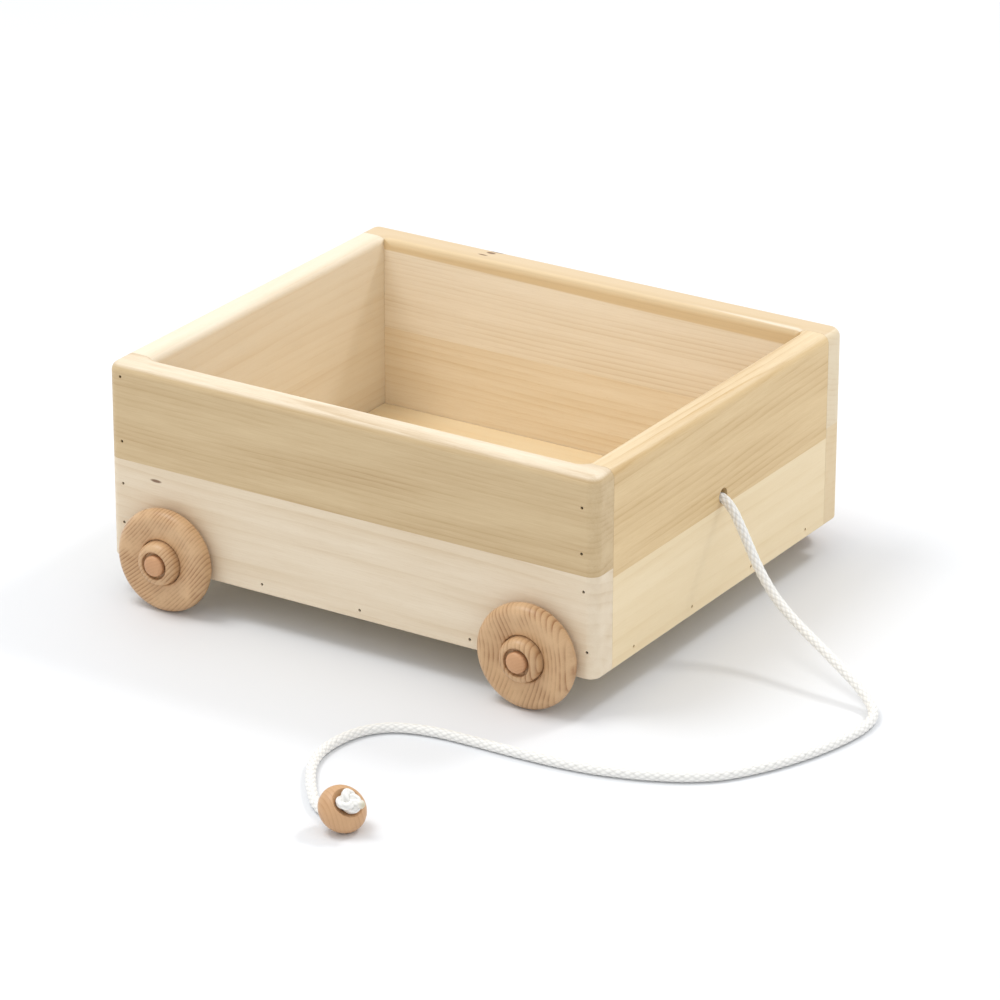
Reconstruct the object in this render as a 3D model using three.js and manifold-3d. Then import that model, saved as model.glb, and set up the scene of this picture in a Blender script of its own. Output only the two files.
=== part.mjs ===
// Pull-along wooden wagon: an open nailed box on four turned wheels, with a rope
// and a bead to pull it by.  Millimetres, +Z up, +X forward, origin on the ground
// under the middle of the box.
import * as THREE from 'three';
import { mergeVertices } from 'three/addons/utils/BufferGeometryUtils.js';
import Module from 'manifold-3d';

const wasm = await Module();
wasm.setup();

// ---- driving dimensions -------------------------------------------------------

const BOX_LENGTH = 338;
const BOX_WIDTH = 286;
const BOX_HEIGHT = 124;
const BOARD = 19;
const FLOOR_THICKNESS = 12;
const JOINT_GAP = 0.3;

const WHEEL_RADIUS = 32.2;
const TYRE_THICKNESS = 13;
const WHEEL_SIDE_GAP = 1.2;
const FRONT_AXLE_X = 128.4;
const REAR_AXLE_X = -124.4;
const AXLE_ABOVE_BOX_BOTTOM = 9.5;

const TOP_ROUND_OVER = 6;
const BOTTOM_ROUND_OVER = 1.5;
const CORNER_RADIUS = 7;
const SIDE_GLUE_HEIGHT = 63.5;
const END_GLUE_HEIGHT = 57.5;

const SHANK_RADIUS = 4.35;
const WHEEL_BORE_RADIUS = 4.75;
const PEG_HEAD_RADIUS = 7.4;
const PEG_DEPTH_IN_BOARD = 15;
const HUB_HEIGHT = 12;
const RECESS_RADIUS = 8.5;
const RECESS_DEPTH = 3.4;
const PEG_HEAD_HEIGHT = 14;

const BRAD_RADIUS = 0.65;
const BRAD_LENGTH = 32;
const BRAD_SET_BELOW = 1;

const ROPE_RADIUS = 3;
const ROPE_LIES_AT = ROPE_RADIUS + 0.1;
const ROPE_HOLE_RADIUS = 4.75;
const ROPE_HOLE_HEIGHT = 64;

const BEAD_RADIUS = 13.9;
const BEAD_HALF_THICKNESS = 10;
const BEAD_BORE_RADIUS = 3.9;
const BEAD_COUNTERSINK_RADIUS = 9;
const END_KNOT_RADIUS = 7;
const STOP_KNOT_RADIUS = 7.5;
const STOP_KNOT_HALF_LENGTH = 6.5;

// ---- places worked out from them ----------------------------------------------

const HALF_LENGTH = BOX_LENGTH / 2;
const HALF_WIDTH = BOX_WIDTH / 2;
const INNER_HALF_LENGTH = HALF_LENGTH - BOARD;
const INNER_HALF_WIDTH = HALF_WIDTH - BOARD;
const BOX_BOTTOM = WHEEL_RADIUS - AXLE_ABOVE_BOX_BOTTOM;
const BOX_TOP = BOX_BOTTOM + BOX_HEIGHT;
const END_BRAD_X = HALF_LENGTH - BOARD / 2;
const FLOOR_BRAD_Z = BOX_BOTTOM + FLOOR_THICKNESS / 2;
const WHEEL_CENTRE_OUT = HALF_WIDTH + WHEEL_SIDE_GAP + TYRE_THICKNESS / 2;

// Height of each brad above the box's bottom edge, nailed by eye.
const REAR_CORNER_BRADS = [23, 48, 75, 116];
const FRONT_CORNER_BRADS = [17, 54, 77, 105];
const FRONT_BRADS_OFF_LINE = [4, 1.5, 0, 0];
const REAR_BRADS_OFF_LINE = [0, 0, 0, 0];
const SIDE_FLOOR_BRADS_X = [-60, 9, 85];
const END_FLOOR_BRADS_Y = [-100, -34, 35, 101];

const ROUND_STEPS = 4;
const HOLE_SIDES = 8;
const LATHE_STEPS = 32;

// ---- finishes ------------------------------------------------------------------

const finish = (color, roughness, metalness = 0) =>
  new THREE.MeshStandardMaterial({ color, roughness, metalness });

const tanBoard = finish(0xd9bd92, 0.55);
const creamBoard = finish(0xe9d8b8, 0.55);
const endUpperBoard = finish(0xdcc192, 0.55);
const endLowerBoard = finish(0xe6cf9f, 0.55);
const rearBoard = finish(0xeadbbd, 0.55);
const floorBoard = finish(0xcfae82, 0.6);
const turnedWheel = finish(0xd9b487, 0.45);
const turnedPeg = finish(0xcd9f70, 0.45);
const beadWood = finish(0xc99c68, 0.5);
const ropeWhite = finish(0xf4f2ec, 0.8);
const bradSteel = finish(0x6a5f52, 0.5, 0.7);

// ---- solids and meshes ----------------------------------------------------------

/** A closed three.js geometry as a solid that can be joined and cut. */
function toSolid(geometry) {
  const bare = geometry.clone();
  bare.deleteAttribute('normal');
  bare.deleteAttribute('uv');
  const merged = mergeVertices(bare);
  return new wasm.Manifold(new wasm.Mesh({
    numProp: 3,
    vertProperties: new Float32Array(merged.attributes.position.array),
    triVerts: new Uint32Array(merged.index.array),
  }));
}

/** The solid's triangles as a three.js geometry. */
function toGeometry(solid) {
  const mesh = solid.getMesh();
  const geometry = new THREE.BufferGeometry();
  geometry.setAttribute('position', new THREE.BufferAttribute(new Float32Array(mesh.vertProperties), 3));
  geometry.setIndex(new THREE.BufferAttribute(new Uint32Array(mesh.triVerts), 1));
  geometry.computeVertexNormals();
  return geometry;
}

/** A cylinder whose axis runs from start to end. */
function rod(radius, start, end, sides = HOLE_SIDES) {
  const along = new THREE.Vector3().subVectors(end, start);
  const geometry = new THREE.CylinderGeometry(radius, radius, along.length(), sides);
  const turn = new THREE.Quaternion().setFromUnitVectors(new THREE.Vector3(0, 1, 0), along.clone().normalize());
  geometry.applyQuaternion(turn);
  const middle = new THREE.Vector3().addVectors(start, end).multiplyScalar(0.5);
  return geometry.translate(middle.x, middle.y, middle.z);
}

/** A block with round vertical corners and one edge radius all round its top and bottom. */
function roundedBlock(length, width, cornerRadius, edgeRadius, low, high) {
  const x = length / 2 - cornerRadius;
  const y = width / 2 - cornerRadius;
  const outline = new THREE.Shape();
  outline.absarc(x, y, cornerRadius, 0, Math.PI / 2);
  outline.absarc(-x, y, cornerRadius, Math.PI / 2, Math.PI);
  outline.absarc(-x, -y, cornerRadius, Math.PI, Math.PI * 1.5);
  outline.absarc(x, -y, cornerRadius, Math.PI * 1.5, Math.PI * 2);
  const geometry = new THREE.ExtrudeGeometry(outline, {
    depth: high - low - 2 * edgeRadius,
    bevelThickness: edgeRadius,
    bevelSize: edgeRadius,
    bevelOffset: -edgeRadius,
    bevelSegments: ROUND_STEPS,
    curveSegments: ROUND_STEPS,
  });
  return geometry.translate(0, 0, low + edgeRadius);
}

/** A board's end section: u across the thickness from its inner face, v up, inner top edge rounded if asked. */
function boardSection(thickness, low, high, innerRound) {
  const section = new THREE.Shape();
  section.moveTo(thickness, low);
  section.lineTo(thickness, high);
  if (innerRound > 0) {
    section.lineTo(innerRound, high);
    section.absarc(innerRound, high - innerRound, innerRound, Math.PI / 2, Math.PI);
  } else {
    section.lineTo(0, high);
  }
  section.lineTo(0, low);
  section.closePath();
  return section;
}

const OVERSIZE = 2;

/**
 * The rounding that a router gives the nailed box: its outside as one block with a
 * large radius along the top and a small one along the bottom.
 */
const outside = toSolid(
  roundedBlock(BOX_LENGTH, BOX_WIDTH, CORNER_RADIUS, TOP_ROUND_OVER, BOX_BOTTOM - 10 * OVERSIZE, BOX_TOP),
).intersect(toSolid(
  roundedBlock(BOX_LENGTH, BOX_WIDTH, CORNER_RADIUS, BOTTOM_ROUND_OVER, BOX_BOTTOM, BOX_TOP + 10 * OVERSIZE),
));

/** A section carried along the box's length on one side: side is -1 for the right, 1 for the left. */
function alongLength(section, side, halfLength, innerFace) {
  const geometry = new THREE.ExtrudeGeometry(section, {
    depth: 2 * halfLength, bevelEnabled: false, curveSegments: ROUND_STEPS,
  });
  geometry.translate(innerFace, 0, -halfLength);
  const u = new THREE.Vector3(0, side, 0);
  const v = new THREE.Vector3(0, 0, 1);
  geometry.applyMatrix4(new THREE.Matrix4().makeBasis(u, v, new THREE.Vector3().crossVectors(u, v)));
  return toSolid(geometry);
}

/** A section carried across the box at one end: end is -1 for the rear, 1 for the front. */
function acrossWidth(section, end, halfWidth, innerFace) {
  const geometry = new THREE.ExtrudeGeometry(section, {
    depth: 2 * halfWidth, bevelEnabled: false, curveSegments: ROUND_STEPS,
  });
  geometry.translate(innerFace, 0, -halfWidth);
  const u = new THREE.Vector3(end, 0, 0);
  const v = new THREE.Vector3(0, 0, 1);
  geometry.applyMatrix4(new THREE.Matrix4().makeBasis(u, v, new THREE.Vector3().crossVectors(u, v)));
  return toSolid(geometry);
}

// ---- fasteners ------------------------------------------------------------------

/** Every brad: its name, the point on the outer face where it goes in, and the way it is driven. */
function bradPlan() {
  const plan = [];
  const sides = [['right', -1], ['left', 1]];
  const ends = [
    ['rear', -1, REAR_CORNER_BRADS, REAR_BRADS_OFF_LINE],
    ['front', 1, FRONT_CORNER_BRADS, FRONT_BRADS_OFF_LINE],
  ];
  for (const [sideName, side] of sides) {
    for (const [endName, end, heights, offLine] of ends) {
      heights.forEach((height, i) => plan.push({
        name: `brad_${endName}_${sideName}_corner_${i + 1}`,
        at: new THREE.Vector3(end * (END_BRAD_X + offLine[i]), side * HALF_WIDTH, BOX_BOTTOM + height),
        inward: new THREE.Vector3(0, -side, 0),
      }));
    }
    SIDE_FLOOR_BRADS_X.forEach((x, i) => plan.push({
      name: `brad_${sideName}_side_floor_${i + 1}`,
      at: new THREE.Vector3(x, side * HALF_WIDTH, FLOOR_BRAD_Z),
      inward: new THREE.Vector3(0, -side, 0),
    }));
  }
  for (const [endName, end] of ends) {
    END_FLOOR_BRADS_Y.forEach((y, i) => plan.push({
      name: `brad_${endName}_end_floor_${i + 1}`,
      at: new THREE.Vector3(end * HALF_LENGTH, y, FLOOR_BRAD_Z),
      inward: new THREE.Vector3(-end, 0, 0),
    }));
  }
  return plan;
}

const brads = bradPlan();

/** The hole that a brad leaves, a little wider and deeper than the brad. */
function bradHole({ at, inward }) {
  const mouth = at.clone().addScaledVector(inward, -OVERSIZE);
  const bottom = at.clone().addScaledVector(inward, BRAD_SET_BELOW + BRAD_LENGTH + JOINT_GAP);
  return toSolid(rod(BRAD_RADIUS + JOINT_GAP, mouth, bottom));
}

const bradHoles = brads.map(bradHole).reduce((all, hole) => all.add(hole));

/** A brad: a straight wire with a blunt set head and a short point, lathed along its own axis. */
function bradGeometry() {
  const point = BRAD_RADIUS * 3;
  const profile = [
    new THREE.Vector2(0, 0),
    new THREE.Vector2(BRAD_RADIUS, point),
    new THREE.Vector2(BRAD_RADIUS, BRAD_LENGTH),
    new THREE.Vector2(0, BRAD_LENGTH),
  ];
  return new THREE.LatheGeometry(profile, HOLE_SIDES);
}

// ---- boards ---------------------------------------------------------------------

const OUTER_OVERSIZE_BOARD = BOARD + OVERSIZE;

/** Cuts a board blank to the box's rounded outside and drills every hole that meets it. */
function finishBoard(blank, extraHoles = []) {
  let board = blank.intersect(outside).subtract(bradHoles);
  for (const hole of extraHoles) board = board.subtract(hole);
  return toGeometry(board);
}

/** A side panel's upper board: its inner top edge is rounded between the end panels and square over them. */
function sideUpperBlank(side, low) {
  const rounded = boardSection(OUTER_OVERSIZE_BOARD, low, BOX_TOP, TOP_ROUND_OVER);
  const square = boardSection(OUTER_OVERSIZE_BOARD, low, BOX_TOP, 0);
  const length = HALF_LENGTH + OVERSIZE;
  const middle = alongLength(rounded, side, INNER_HALF_LENGTH, INNER_HALF_WIDTH);
  const whole = alongLength(square, side, length, INNER_HALF_WIDTH);
  const clear = toSolid(new THREE.BoxGeometry(2 * INNER_HALF_LENGTH, 4 * HALF_WIDTH, 4 * BOX_HEIGHT)
    .translate(0, 0, BOX_BOTTOM));
  return whole.subtract(clear).add(middle);
}

function pegHole(side, x) {
  const mouth = new THREE.Vector3(x, side * (HALF_WIDTH + OVERSIZE), WHEEL_RADIUS);
  const bottom = new THREE.Vector3(x, side * (HALF_WIDTH - PEG_DEPTH_IN_BOARD - JOINT_GAP), WHEEL_RADIUS);
  return toSolid(rod(SHANK_RADIUS + JOINT_GAP, mouth, bottom, LATHE_STEPS));
}

function ropeHole() {
  const z = BOX_BOTTOM + ROPE_HOLE_HEIGHT;
  const inside = new THREE.Vector3(INNER_HALF_LENGTH - OVERSIZE, 0, z);
  const mouth = new THREE.Vector3(HALF_LENGTH + OVERSIZE, 0, z);
  return toSolid(rod(ROPE_HOLE_RADIUS, inside, mouth, LATHE_STEPS));
}

const wagon = new THREE.Group();

function addMesh(name, geometry, material, parent = wagon) {
  const mesh = new THREE.Mesh(geometry, material);
  mesh.name = name;
  parent.add(mesh);
  return mesh;
}

function addSidePanel(sideName, side) {
  const glue = BOX_BOTTOM + SIDE_GLUE_HEIGHT;
  const lowerSection = boardSection(OUTER_OVERSIZE_BOARD, BOX_BOTTOM, glue - JOINT_GAP / 2, 0);
  const lower = alongLength(lowerSection, side, HALF_LENGTH + OVERSIZE, INNER_HALF_WIDTH);
  const pegHoles = [pegHole(side, FRONT_AXLE_X), pegHole(side, REAR_AXLE_X)];
  addMesh(`${sideName}_side_lower_board`, finishBoard(lower, pegHoles), creamBoard);
  const upper = sideUpperBlank(side, glue + JOINT_GAP / 2);
  addMesh(`${sideName}_side_upper_board`, finishBoard(upper), tanBoard);
}

function addEndPanel(endName, end, lowerFinish, upperFinish, extraHoles) {
  const glue = BOX_BOTTOM + END_GLUE_HEIGHT;
  const halfWidth = INNER_HALF_WIDTH - JOINT_GAP;
  const lowerSection = boardSection(OUTER_OVERSIZE_BOARD, BOX_BOTTOM, glue - JOINT_GAP / 2, 0);
  const upperSection = boardSection(OUTER_OVERSIZE_BOARD, glue + JOINT_GAP / 2, BOX_TOP, TOP_ROUND_OVER);
  const lower = acrossWidth(lowerSection, end, halfWidth, INNER_HALF_LENGTH);
  const upper = acrossWidth(upperSection, end, halfWidth, INNER_HALF_LENGTH);
  addMesh(`${endName}_end_lower_board`, finishBoard(lower), lowerFinish);
  addMesh(`${endName}_end_upper_board`, finishBoard(upper, extraHoles), upperFinish);
}

function addFloor() {
  const panel = toSolid(new THREE.BoxGeometry(
    2 * (INNER_HALF_LENGTH - JOINT_GAP),
    2 * (INNER_HALF_WIDTH - JOINT_GAP),
    FLOOR_THICKNESS,
  ).translate(0, 0, BOX_BOTTOM + FLOOR_THICKNESS / 2));
  addMesh('floor_panel', toGeometry(panel.subtract(bradHoles)), floorBoard);
}

// ---- wheels and axle pegs ---------------------------------------------------------

/** Points of an elliptical arc in a lathe profile, angles in degrees from the radial direction. */
function profileArc(centreR, centreY, radiusR, radiusY, fromDegrees, toDegrees, steps) {
  const curve = new THREE.EllipseCurve(centreR, centreY, radiusR, radiusY,
    THREE.MathUtils.degToRad(fromDegrees), THREE.MathUtils.degToRad(toDegrees), toDegrees < fromDegrees);
  return curve.getPoints(steps);
}

/**
 * Wheel profile, radius against distance outward from the tyre's middle: flat back, round
 * tyre, face sloping in to a groove, raised round hub, counterbore and bore.
 */
function wheelProfile() {
  const half = TYRE_THICKNESS / 2;
  const tyreRound = 6;
  const crest = WHEEL_RADIUS - tyreRound;
  const grooveRadius = 13.9;
  const grooveHeight = 4.6;
  const hubCrest = 9.2;
  const hubRound = new THREE.Vector2(4.3, 5.5);
  const recessFloor = HUB_HEIGHT - RECESS_DEPTH;
  return [
    new THREE.Vector2(WHEEL_BORE_RADIUS, -half),
    ...profileArc(crest, 0, tyreRound, half, -90, 90, 8),
    new THREE.Vector2((crest + grooveRadius) / 2, half - 0.9),
    new THREE.Vector2(grooveRadius, grooveHeight),
    ...profileArc(hubCrest, HUB_HEIGHT - hubRound.y - 0.1, hubRound.x, hubRound.y, 0, 90, 5),
    new THREE.Vector2(RECESS_RADIUS, HUB_HEIGHT - 0.4),
    new THREE.Vector2(RECESS_RADIUS, recessFloor),
    new THREE.Vector2(WHEEL_BORE_RADIUS, recessFloor),
    new THREE.Vector2(WHEEL_BORE_RADIUS, -half),
  ];
}

/** Axle peg, along the same axis: shank into the side board, button head in the wheel's counterbore. */
function pegProfile() {
  const shankEnd = -(WHEEL_CENTRE_OUT - HALF_WIDTH) - PEG_DEPTH_IN_BOARD;
  const headUnder = HUB_HEIGHT - RECESS_DEPTH + 0.4;
  const headRound = 1.6;
  return [
    new THREE.Vector2(0, shankEnd),
    new THREE.Vector2(SHANK_RADIUS - 1, shankEnd),
    new THREE.Vector2(SHANK_RADIUS, shankEnd + 1),
    new THREE.Vector2(SHANK_RADIUS, headUnder),
    new THREE.Vector2(PEG_HEAD_RADIUS, headUnder),
    ...profileArc(PEG_HEAD_RADIUS - headRound, PEG_HEAD_HEIGHT - headRound, headRound, headRound, 0, 90, 3),
    new THREE.Vector2(0, PEG_HEAD_HEIGHT),
  ];
}

function addWheelSets() {
  const wheelGeometry = new THREE.LatheGeometry(wheelProfile(), LATHE_STEPS);
  const pegGeometry = new THREE.LatheGeometry(pegProfile(), LATHE_STEPS / 2);
  for (const [endName, axleX] of [['front', FRONT_AXLE_X], ['rear', REAR_AXLE_X]]) {
    for (const [sideName, side] of [['right', -1], ['left', 1]]) {
      const axle = new THREE.Group();
      axle.position.set(axleX, side * WHEEL_CENTRE_OUT, WHEEL_RADIUS);
      axle.rotation.x = side < 0 ? Math.PI : 0;
      addMesh(`${endName}_${sideName}_wheel`, wheelGeometry, turnedWheel, axle);
      addMesh(`${endName}_${sideName}_axle_peg`, pegGeometry, turnedPeg, axle);
      wagon.add(axle);
    }
  }
}

// ---- rope, knots and bead -----------------------------------------------------------

const ROPE_START = new THREE.Vector3(INNER_HALF_LENGTH, 0, BOX_BOTTOM + ROPE_HOLE_HEIGHT - 1.3);
const BEAD_CENTRE = new THREE.Vector3(126.23, -335.12, 11.9);
const BEAD_AXIS = new THREE.Vector3(0.62, -0.22, 0.75).normalize();
const END_KNOT_ALONG_BEAD = 11.5;

/** A point on the bead's axis, that far from its middle towards the end knot. */
const onBeadAxis = (along) => BEAD_CENTRE.clone().addScaledVector(BEAD_AXIS, along);

/** The rope's route: out of its hole, down to the ground, round in one loose bend and into the bead. */
const ROPE_ROUTE = [
  ROPE_START,
  new THREE.Vector3(160, -0.1, 85.4),
  new THREE.Vector3(169.5, -0.6, 85.1),
  new THREE.Vector3(177, -3, 80.8),
  new THREE.Vector3(184.5, -5.8, 72.4),
  new THREE.Vector3(192, -8.6, 62.8),
  new THREE.Vector3(201, -12, 51.6),
  new THREE.Vector3(213.5, -16.8, 40.6),
  new THREE.Vector3(229, -22.6, 31.9),
  new THREE.Vector3(248.5, -30.2, 24.6),
  new THREE.Vector3(269, -38, 17),
  new THREE.Vector3(285, -44.2, 10.4),
  new THREE.Vector3(297, -51, 4.8),
  new THREE.Vector3(304, -61, 3.3),
  new THREE.Vector3(306.5, -75, ROPE_LIES_AT),
  new THREE.Vector3(304.8, -93, ROPE_LIES_AT),
  new THREE.Vector3(299.5, -115, ROPE_LIES_AT),
  new THREE.Vector3(291.2, -137, ROPE_LIES_AT),
  new THREE.Vector3(281.2, -156.5, ROPE_LIES_AT),
  new THREE.Vector3(269.5, -173, ROPE_LIES_AT),
  new THREE.Vector3(255.8, -184.4, ROPE_LIES_AT),
  new THREE.Vector3(240, -193, ROPE_LIES_AT),
  new THREE.Vector3(223.4, -199.6, ROPE_LIES_AT),
  new THREE.Vector3(205.5, -204.6, ROPE_LIES_AT),
  new THREE.Vector3(186.5, -207.6, ROPE_LIES_AT),
  new THREE.Vector3(166.5, -209.2, ROPE_LIES_AT),
  new THREE.Vector3(147.5, -209.8, ROPE_LIES_AT),
  new THREE.Vector3(128.8, -210.2, ROPE_LIES_AT),
  new THREE.Vector3(110.5, -211.2, ROPE_LIES_AT),
  new THREE.Vector3(94.5, -214.4, ROPE_LIES_AT),
  new THREE.Vector3(80, -221.5, ROPE_LIES_AT),
  new THREE.Vector3(70.5, -233.8, ROPE_LIES_AT),
  new THREE.Vector3(66.2, -249.5, ROPE_LIES_AT),
  new THREE.Vector3(66.2, -266, ROPE_LIES_AT),
  new THREE.Vector3(71, -282.5, ROPE_LIES_AT),
  new THREE.Vector3(80, -298, ROPE_LIES_AT),
  new THREE.Vector3(91, -312.5, ROPE_LIES_AT),
  new THREE.Vector3(101, -323, ROPE_LIES_AT),
  new THREE.Vector3(112.2, -330.1, ROPE_LIES_AT),
  new THREE.Vector3(115.4, -331.3, 3.5),
  new THREE.Vector3(118.4, -332.3, 4.6),
  new THREE.Vector3(121.2, -333.3, 6.3),
  onBeadAxis(-4.4),
  onBeadAxis(END_KNOT_ALONG_BEAD - END_KNOT_RADIUS - JOINT_GAP),
];

function addRope() {
  const section = new THREE.Shape();
  section.absarc(0, 0, ROPE_RADIUS, 0, Math.PI * 2);
  const path = new THREE.CatmullRomCurve3(ROPE_ROUTE, false, 'centripetal');
  path.arcLengthDivisions = 800;
  const tube = new THREE.ExtrudeGeometry(section, { steps: 66, extrudePath: path, curveSegments: 10 });
  addMesh('pull_rope', tube, ropeWhite);

  const stopKnot = new THREE.IcosahedronGeometry(1, 2)
    .scale(STOP_KNOT_HALF_LENGTH, STOP_KNOT_RADIUS, STOP_KNOT_RADIUS);
  const knotX = INNER_HALF_LENGTH - JOINT_GAP - STOP_KNOT_HALF_LENGTH;
  addMesh('rope_stop_knot', stopKnot, ropeWhite).position.set(knotX, ROPE_START.y, ROPE_START.z);

  const endKnot = new THREE.IcosahedronGeometry(END_KNOT_RADIUS, 2);
  addMesh('rope_end_knot', endKnot, ropeWhite).position.copy(onBeadAxis(END_KNOT_ALONG_BEAD));
}

/** Bead profile, radius against distance along its axis: flattened ball, countersunk mouths and a straight bore. */
function beadProfile() {
  const mouthAngle = THREE.MathUtils.radToDeg(Math.acos(BEAD_COUNTERSINK_RADIUS / BEAD_RADIUS));
  const countersinkFoot = 4.4;
  return [
    new THREE.Vector2(BEAD_BORE_RADIUS, -countersinkFoot),
    ...profileArc(0, 0, BEAD_RADIUS, BEAD_HALF_THICKNESS, -mouthAngle, mouthAngle, 10),
    new THREE.Vector2(BEAD_BORE_RADIUS, countersinkFoot),
    new THREE.Vector2(BEAD_BORE_RADIUS, -countersinkFoot),
  ];
}

function addBead() {
  const bead = addMesh('pull_bead', new THREE.LatheGeometry(beadProfile(), LATHE_STEPS), beadWood);
  bead.position.copy(BEAD_CENTRE);
  bead.quaternion.setFromUnitVectors(new THREE.Vector3(0, 1, 0), BEAD_AXIS);
}

// ---- assembly ---------------------------------------------------------------------

addSidePanel('right', -1);
addSidePanel('left', 1);
addEndPanel('front', 1, endLowerBoard, endUpperBoard, [ropeHole()]);
addEndPanel('rear', -1, rearBoard, rearBoard, []);
addFloor();
addWheelSets();
addRope();
addBead();

for (const brad of brads) {
  const mesh = addMesh(brad.name, bradGeometry(), bradSteel);
  mesh.quaternion.setFromUnitVectors(new THREE.Vector3(0, -1, 0), brad.inward);
  mesh.position.copy(brad.at).addScaledVector(brad.inward, BRAD_SET_BELOW + BRAD_LENGTH);
}

export default wagon;
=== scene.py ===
"""Toy wagon of edge-glued boards with turned wooden wheels and a braided pull rope that ends in a bead.

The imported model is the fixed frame. Every visible piece is a numpy surface worked out here in metres, in the
frame's own coordinates, and rides on the body that the frame names. X runs along the wagon, the rope at +X.
"""

import math

import bpy
import numpy as np
from mathutils import Matrix, Vector


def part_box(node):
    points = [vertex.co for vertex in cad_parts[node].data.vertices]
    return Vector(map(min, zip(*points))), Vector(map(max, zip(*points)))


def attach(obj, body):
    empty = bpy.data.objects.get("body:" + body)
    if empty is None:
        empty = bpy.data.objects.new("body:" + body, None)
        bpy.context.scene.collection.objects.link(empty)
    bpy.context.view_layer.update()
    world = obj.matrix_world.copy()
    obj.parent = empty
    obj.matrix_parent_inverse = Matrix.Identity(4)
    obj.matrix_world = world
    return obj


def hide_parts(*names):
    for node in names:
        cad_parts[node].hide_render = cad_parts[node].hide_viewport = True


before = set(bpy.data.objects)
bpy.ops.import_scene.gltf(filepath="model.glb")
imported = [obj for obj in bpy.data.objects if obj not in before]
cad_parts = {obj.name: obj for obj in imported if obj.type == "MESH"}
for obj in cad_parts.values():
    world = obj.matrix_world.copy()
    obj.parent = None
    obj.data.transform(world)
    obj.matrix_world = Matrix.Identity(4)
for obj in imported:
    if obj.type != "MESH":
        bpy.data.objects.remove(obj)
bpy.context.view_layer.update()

bl_info = {
    "name": "Toy Wagon with Pull Rope",
    "version": (1, 0, 0),
    "blender": (4, 5, 0),
    "location": "3D View > Sidebar > Wagon",
    "description": "Builds the boards, wheels, pegs, rope, knots and bead of a wooden toy wagon",
    "category": "Object",
}

MM = 0.001
RIGHT, LEFT = -1, 1
REAR, FRONT = -1, 1
SIDES = (("right", RIGHT), ("left", LEFT))
ENDS = (("rear", REAR), ("front", FRONT))


def linear(red, green, blue):
    """A display colour from 0 to 255 as linear light: the display curve undone for each channel."""
    shares = [channel / 255 for channel in (red, green, blue)]
    return tuple(s / 12.92 if s <= 0.04045 else ((s + 0.055) / 1.055) ** 2.4 for s in shares)


# Sizes that come from the frame

SIDE_LOW, SIDE_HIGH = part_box("right_side_lower_board")
TOP_LOW, TOP_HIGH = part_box("right_side_upper_board")
END_LOW, END_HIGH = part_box("front_end_lower_board")
END_TOP_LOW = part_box("front_end_upper_board")[0]
HALF_LENGTH = SIDE_HIGH.x
HALF_WIDTH = -SIDE_LOW.y
BOX_BOTTOM = SIDE_LOW.z
BOX_TOP = TOP_HIGH.z
SIDE_GLUE_LINE = (SIDE_HIGH.z + TOP_LOW.z) / 2
END_GLUE_LINE = (END_HIGH.z + END_TOP_LOW.z) / 2
BOARD_DEFAULT = HALF_LENGTH - END_LOW.x


def size(name, description, default):
    """A length that a user may change, in metres."""
    return bpy.props.FloatProperty(
        name=name, description=description, default=default, min=0.0, unit="LENGTH", precision=5
    )


def angle(name, description, degrees):
    """An angle that a user may change, given in degrees."""
    return bpy.props.FloatProperty(
        name=name, description=description, default=math.radians(degrees), subtype="ANGLE"
    )


def colour(name, description, red, green, blue):
    """A colour that a user may change, given as a display colour from 0 to 255."""
    return bpy.props.FloatVectorProperty(
        name=name, description=description, default=linear(red, green, blue),
        min=0.0, max=1.0, size=3, subtype="COLOR",
    )


class WagonSizes(bpy.types.PropertyGroup):
    board: size("Board", "Thickness of the side and end boards", BOARD_DEFAULT)
    round_over: size("Round-over", "Radius routed along the rim, inside and outside", 6 * MM)
    router_bearing: size("Router bearing", "Radius at which the inside round-over turns a corner", 5 * MM)
    corner: size("Corner", "Radius of the four upright corners", 7 * MM)
    bottom_round: size("Bottom edge", "Radius along the outer bottom edge", 1.5 * MM)
    joint_gap: size("Joint", "Open line where an end board butts against a side board", 0.14 * MM)
    glue_gap: size("Glue line", "Open line between two edge-glued boards", 0.02 * MM)
    brad_hole: size("Brad hole", "Radius of the hole above a sunk brad", 0.95 * MM)
    peg_hole: size("Peg hole", "Radius of the hole for an axle peg", 4.5 * MM)
    rope_hole: size("Rope hole", "Radius of the hole for the rope in the front board", 4.75 * MM)
    rope: size("Rope", "Diameter of the braided rope", 6 * MM)
    stitch: size("Stitch", "Length of one stitch of the braid along the rope", 5.4 * MM)


class WagonColours(bpy.types.PropertyGroup):
    # Painted highlight: a paler colour on top of the right side's rounded rim, where the round-over catches
    # light from above
    right_rim_highlight: colour("Right rim", "Early wood of the right side's rounded rim", 236, 223, 200)
    left_heart: colour("Left heartwood", "Dark band under the left side's rim", 228, 204, 162)
    left_rim: colour("Left rim", "Flat top of the left side's rim", 214, 192, 158)
    # Painted light: the two inner colours below are paler than the same boards' outer faces, standing in for
    # light bounced inside the box
    left_upper_inner_bounce_lit: colour("Left upper, inside", "Inner face of the left side's upper board", 252, 243, 226)
    left_lower_inner_bounce_lit: colour("Left lower, inside", "Inner face of the left side's lower board", 246, 234, 212)
    # Painted highlight: a paler colour on top of the front end's rounded rim, where the round-over catches
    # light from above
    front_rim_highlight: colour("Front rim", "Early wood of the front end's rounded rim", 232, 213, 178)
    knot_brown: colour("Knot brown", "Small knots and bark marks in the boards", 104, 66, 34)
    rope: colour("Rope", "Filaments of the braided rope", 246, 245, 241)
    rope_melt: colour("Melted end", "Rope end sealed with heat", 206, 198, 170)
    brad: colour("Brad", "Steel of the sunk brads", 74, 66, 56)
    ground: colour("Ground", "The studio's pale floor", 229, 231, 234)


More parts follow.
